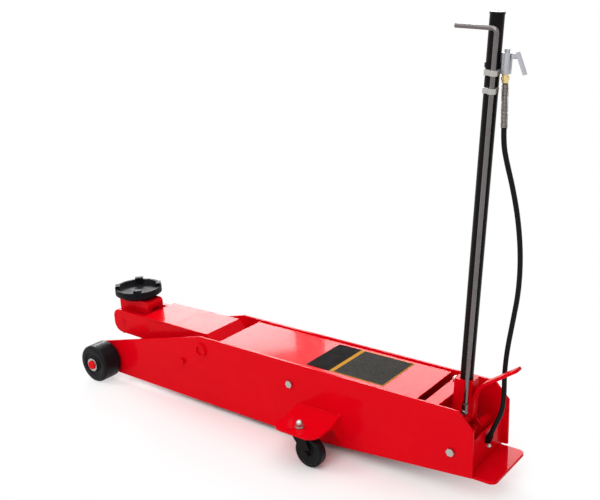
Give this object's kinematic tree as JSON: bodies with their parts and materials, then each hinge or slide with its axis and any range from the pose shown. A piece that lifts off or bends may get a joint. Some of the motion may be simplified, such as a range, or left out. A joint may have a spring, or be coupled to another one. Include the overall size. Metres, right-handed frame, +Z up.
{
  "type": "service floor jack",
  "caption": "Long-chassis air and hydraulic floor jack: lifting arm with a levelled cup saddle, foot pedal, tall pump handle with a twist release rod, air valve and hose, rolling on wheels and casters.",
  "frame": {"origin": "middle of the overall length and width, on the floor under the wheels", "axes": "+X to the handle end, -X to the saddle, -Y to the side that carries the release rod, +Z up"},
  "size_m": [1.42, 0.444, 1.1234],
  "materials": {
    "red_paint": "glossy enamel over steel",
    "black_paint": "semi-gloss black enamel",
    "black_cast": "painted casting, satin",
    "black_rubber": "matte rubber",
    "wheel_black": "hard moulded tread, satin",
    "zinc": "zinc plated",
    "chrome": "bright chrome",
    "steel": "bare machined steel",
    "brass": "turned brass",
    "placard": "plain printed film, no lettering",
    "alloy": "die cast"
  },
  "bodies": {
    "frame": {"side_plate_left": "red_paint", "side_plate_right": "red_paint", "top_cover": "red_paint", "placard": "placard", "cross_strip": "red_paint", "rear_panel": "red_paint", "foot_plate": "red_paint", "front_axle": "red_paint", "axle_washers": "zinc", "arm_pivot_shaft": "red_paint", "pivot_collars": "red_paint", "shaft_spacers": "red_paint", "stops_and_stubs": "red_paint", "tie_bolt": "zinc", "yoke_shaft": "zinc", "ram_barrel": "black_paint", "valve_block": "black_paint", "block_cradle": "red_paint", "pump_barrel": "black_paint", "air_motor": "alloy", "caster_bracket_left": "red_paint", "caster_bracket_right": "red_paint", "kingpins": "zinc", "hose_elbow": "black_paint", "air_hose": "black_rubber"},
    "arm": {"arm_cheek_left": "red_paint", "arm_cheek_right": "red_paint", "arm_top_plate": "red_paint", "arm_tubes": "red_paint", "arm_pin": "red_paint", "crank": "red_paint"},
    "links": {"levelling_links": "red_paint"},
    "bracket": {"saddle_bracket": "red_paint", "link_pin": "red_paint"},
    "saddle": {"saddle": "black_cast"},
    "ram": {"ram_head": "steel", "ram_rod": "steel"},
    "plunger": {"pump_plunger": "steel"},
    "spindle": {"release_spindle": "steel"},
    "handle": {"handle_socket": "red_paint", "yoke_plates": "red_paint", "pump_lugs": "red_paint", "clamp_bolt": "zinc", "pedal": "red_paint", "handle_tube": "black_paint", "handle_cap": "black_rubber", "rod_guides": "zinc", "valve_body": "alloy", "valve_clamp": "black_paint", "hose_swivel": "brass", "strain_relief": "zinc"},
    "release": {"release_rod": "chrome"},
    "trigger": {"valve_lever": "alloy"},
    "front_wheel_left": {"front_wheel_left": "wheel_black"},
    "front_wheel_right": {"front_wheel_right": "wheel_black"},
    "caster_left": {"caster_fork_left": "black_paint"},
    "caster_right": {"caster_fork_right": "black_paint"},
    "caster_wheel_left": {"caster_wheel_left": "wheel_black"},
    "caster_wheel_right": {"caster_wheel_right": "wheel_black"}
  },
  "joints": [
    {"name": "arm_lift", "type": "hinge", "parent": "frame", "child": "arm", "pos_m": [-0.229, 0, 0.184], "axis": [0, 1, 0], "range_deg": [0, 55]},
    {"name": "link_lift", "type": "hinge", "parent": "frame", "child": "links", "pos_m": [-0.249, 0, 0.146], "axis": [0, 1, 0], "range_deg": [0, 55]},
    {"name": "bracket_level", "type": "hinge", "parent": "arm", "child": "bracket", "pos_m": [-0.618, 0, 0.176], "axis": [0, 1, 0], "range_deg": [-55, 0]},
    {"name": "saddle_turn", "type": "hinge", "parent": "bracket", "child": "saddle", "pos_m": [-0.594, 0, 0.26], "axis": [0, 0, 1], "continuous": true},
    {"name": "ram_stroke", "type": "slide", "parent": "frame", "child": "ram", "axis": [-1, 0, 0], "range_m": [0, 0.0832]},
    {"name": "handle_pump", "type": "hinge", "parent": "frame", "child": "handle", "pos_m": [0.587, 0, 0.114], "axis": [0, 1, 0], "range_deg": [0, 50], "stiffness_Nm_per_rad": 12, "springref_deg": -34.38, "deforming": ["air_hose"]},
    {"name": "plunger_stroke", "type": "slide", "parent": "frame", "child": "plunger", "axis": [-1, 0, 0], "range_m": [0, 0.0255]},
    {"name": "release_turn", "type": "hinge", "parent": "handle", "child": "release", "pos_m": [0.5885, -0.035, 0.19808], "axis": [0.0654, 0, 0.9979], "range_deg": [0, 90]},
    {"name": "spindle_turn", "type": "hinge", "parent": "frame", "child": "spindle", "pos_m": [0.4, -0.045, 0.125], "axis": [1, 0, 0], "range_deg": [0, 90]},
    {"name": "trigger_squeeze", "type": "hinge", "parent": "handle", "child": "trigger", "pos_m": [0.67218, 0, 1.03139], "axis": [0, 1, 0], "range_deg": [0, 14], "stiffness_Nm_per_rad": 0.5, "springref_deg": -20.05},
    {"name": "front_wheel_left_roll", "type": "hinge", "parent": "frame", "child": "front_wheel_left", "pos_m": [-0.65, 0.137, 0.06], "axis": [0, 1, 0], "continuous": true},
    {"name": "caster_left_swivel", "type": "hinge", "parent": "frame", "child": "caster_left", "pos_m": [0.196, 0.185, 0.09], "axis": [0, 0, 1], "continuous": true},
    {"name": "caster_wheel_left_roll", "type": "hinge", "parent": "caster_left", "child": "caster_wheel_left", "pos_m": [0.229, 0.185, 0.042], "axis": [0, 1, 0], "continuous": true},
    {"name": "front_wheel_right_roll", "type": "hinge", "parent": "frame", "child": "front_wheel_right", "pos_m": [-0.65, -0.137, 0.06], "axis": [0, 1, 0], "continuous": true},
    {"name": "caster_right_swivel", "type": "hinge", "parent": "frame", "child": "caster_right", "pos_m": [0.196, -0.185, 0.09], "axis": [0, 0, 1], "continuous": true},
    {"name": "caster_wheel_right_roll", "type": "hinge", "parent": "caster_right", "child": "caster_wheel_right", "pos_m": [0.229, -0.185, 0.042], "axis": [0, 1, 0], "continuous": true}
  ],
  "couplings": [
    {"joint": "link_lift", "follows": "arm_lift", "ratio": 1},
    {"joint": "bracket_level", "follows": "arm_lift", "ratio": -1},
    {"joint": "ram_stroke", "follows": "arm_lift", "m_per_rad": 0.086584},
    {"joint": "plunger_stroke", "follows": "handle_pump", "m_per_rad": 0.029057},
    {"joint": "spindle_turn", "follows": "release_turn", "ratio": 1}
  ]
}
